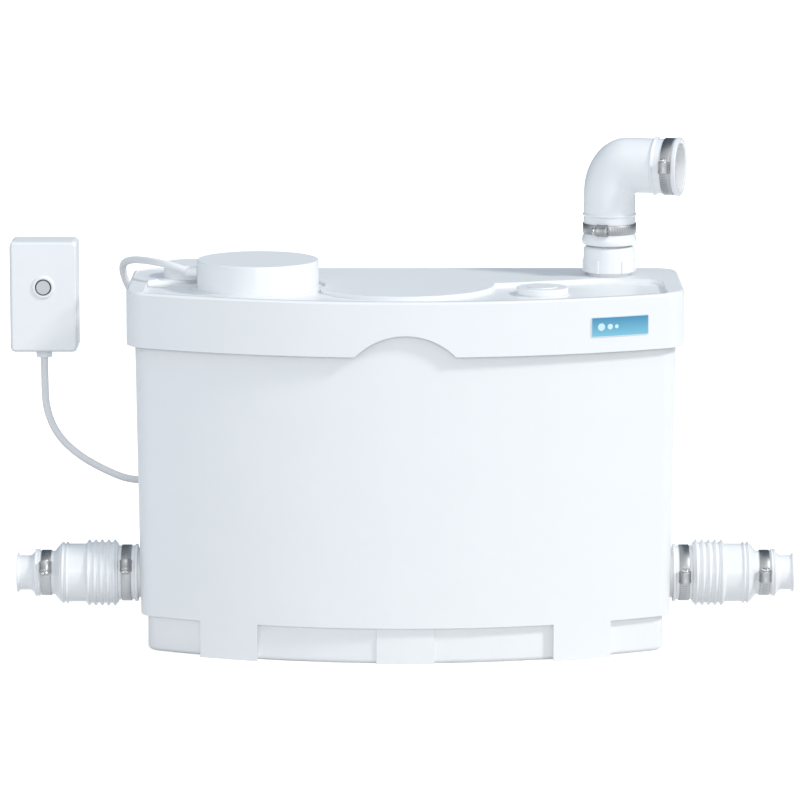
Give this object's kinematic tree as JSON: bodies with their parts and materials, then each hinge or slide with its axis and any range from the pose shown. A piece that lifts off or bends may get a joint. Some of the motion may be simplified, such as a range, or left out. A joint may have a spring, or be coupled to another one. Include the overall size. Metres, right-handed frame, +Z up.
{
  "type": "sewage lifting unit",
  "caption": "Sewage lifting unit: bowed tank under a deep lid with a tall motor cap, ribbed rubber inlet sleeves, clamped rubber outlet elbow, inner pump and wired wall button.",
  "frame": {"origin": "on the floor, under the middle of the tank", "axes": "+X to the right seen from the bowed front, +Y towards the wall, +Z up"},
  "size_m": [0.6876, 0.2295, 0.4385],
  "materials": {
    "white_plastic": "satin, fine texture",
    "white_rubber": "smooth, slight gloss",
    "black_rubber": "matt",
    "grey_plastic": "moulded",
    "dark_plastic": "satin",
    "button_grey": "satin",
    "badge_blue": "printed film",
    "cord_white": "smooth sheath",
    "charcoal": "porous",
    "board_green": "lacquered",
    "clamp_steel": "bright",
    "screw_steel": "bright",
    "motor_steel": "drawn",
    "lamination_iron": "dull",
    "winding_copper": "enamelled"
  },
  "bodies": {
    "unit": {"tank": "white_plastic", "lid_gasket": "black_rubber", "lid": "white_plastic", "lid_screws": "screw_steel", "badge": "badge_blue", "motor_cap": "white_plastic", "cap_gland": "white_plastic", "switch_cap": "white_plastic", "carbon_filter": "charcoal", "outlet_neck": "white_plastic", "valve_body": "grey_plastic", "tailpiece_washer": "black_rubber", "left_inlet_sleeve": "white_rubber", "right_inlet_sleeve": "white_rubber", "inner_sleeve_clamps": "clamp_steel", "outer_sleeve_clamps": "clamp_steel", "sleeve_clamp_screws": "screw_steel", "motor_gasket": "black_rubber", "motor_housing": "motor_steel", "motor_screws": "screw_steel", "bearing_plate": "motor_steel", "motor_bearings": "screw_steel", "stator": "lamination_iron", "stator_windings": "winding_copper", "pump_bracket": "grey_plastic", "shaft_seal": "black_rubber", "pump_casing": "grey_plastic", "suction_strainer": "grey_plastic", "riser_pipe": "grey_plastic", "capacitor": "motor_steel", "terminal_block": "white_plastic", "dip_tube": "grey_plastic", "switch_diaphragm": "black_rubber", "microswitch": "dark_plastic", "box_base": "white_plastic", "box_cover": "white_plastic", "box_screws": "screw_steel", "button_bezel": "white_plastic", "button_ring": "dark_plastic", "button_spring": "screw_steel", "switch_block": "dark_plastic", "control_board": "board_green", "box_gland": "white_plastic", "control_cable": "cord_white", "cable_clip": "white_plastic"},
    "vent": {"vent_cap": "white_plastic"},
    "nut": {"coupling_nut": "white_plastic"},
    "elbow": {"rubber_elbow": "white_rubber", "elbow_tailpiece": "white_plastic", "elbow_lower_clamp": "clamp_steel", "elbow_outlet_clamp": "clamp_steel", "elbow_clamp_screws": "screw_steel"},
    "valve_flap": {"valve_flap": "black_rubber"},
    "left_flap": {"left_inlet_flap": "black_rubber"},
    "right_flap": {"right_inlet_flap": "black_rubber"},
    "rotor": {"rotor": "motor_steel", "impeller": "grey_plastic"},
    "button": {"push_button": "button_grey"},
    "plunger": {"switch_plunger": "grey_plastic"}
  },
  "joints": [
    {"name": "vent_turn", "type": "hinge", "parent": "unit", "child": "vent", "pos_m": [0.1176, -0.031, 0.317], "axis": [0, 0, 1], "range_deg": [0, 60]},
    {"name": "nut_turn", "type": "hinge", "parent": "unit", "child": "nut", "pos_m": [0.1787, 0.0615, 0.33], "axis": [0, 0, 1], "continuous": true},
    {"name": "elbow_turn", "type": "hinge", "parent": "unit", "child": "elbow", "pos_m": [0.1787, 0.0615, 0.36], "axis": [0, 0, 1], "continuous": true},
    {"name": "valve_hinge", "type": "hinge", "parent": "unit", "child": "valve_flap", "pos_m": [0.1787, 0.0827, 0.2425], "axis": [-1, 0, 0], "range_deg": [0, 65]},
    {"name": "left_flap_hinge", "type": "hinge", "parent": "unit", "child": "left_flap", "pos_m": [-0.21511, 0, 0.088], "axis": [0, -1, 0], "range_deg": [0, 40]},
    {"name": "right_flap_hinge", "type": "hinge", "parent": "unit", "child": "right_flap", "pos_m": [0.21511, 0, 0.088], "axis": [0, 1, 0], "range_deg": [0, 40]},
    {"name": "rotor_spin", "type": "hinge", "parent": "unit", "child": "rotor", "pos_m": [-0.1274, 0, 0.2], "axis": [0, 0, 1], "continuous": true},
    {"name": "button_press", "type": "slide", "parent": "unit", "child": "button", "axis": [0, 1, 0], "range_m": [0, 0.0022], "stiffness_N_per_m": 500, "springref_m": -0.002, "deforming": ["button_spring"]},
    {"name": "plunger_lift", "type": "slide", "parent": "unit", "child": "plunger", "axis": [0, 0, 1], "range_m": [0, 0.002], "stiffness_N_per_m": 400, "springref_m": -0.001, "deforming": ["switch_diaphragm"]}
  ]
}
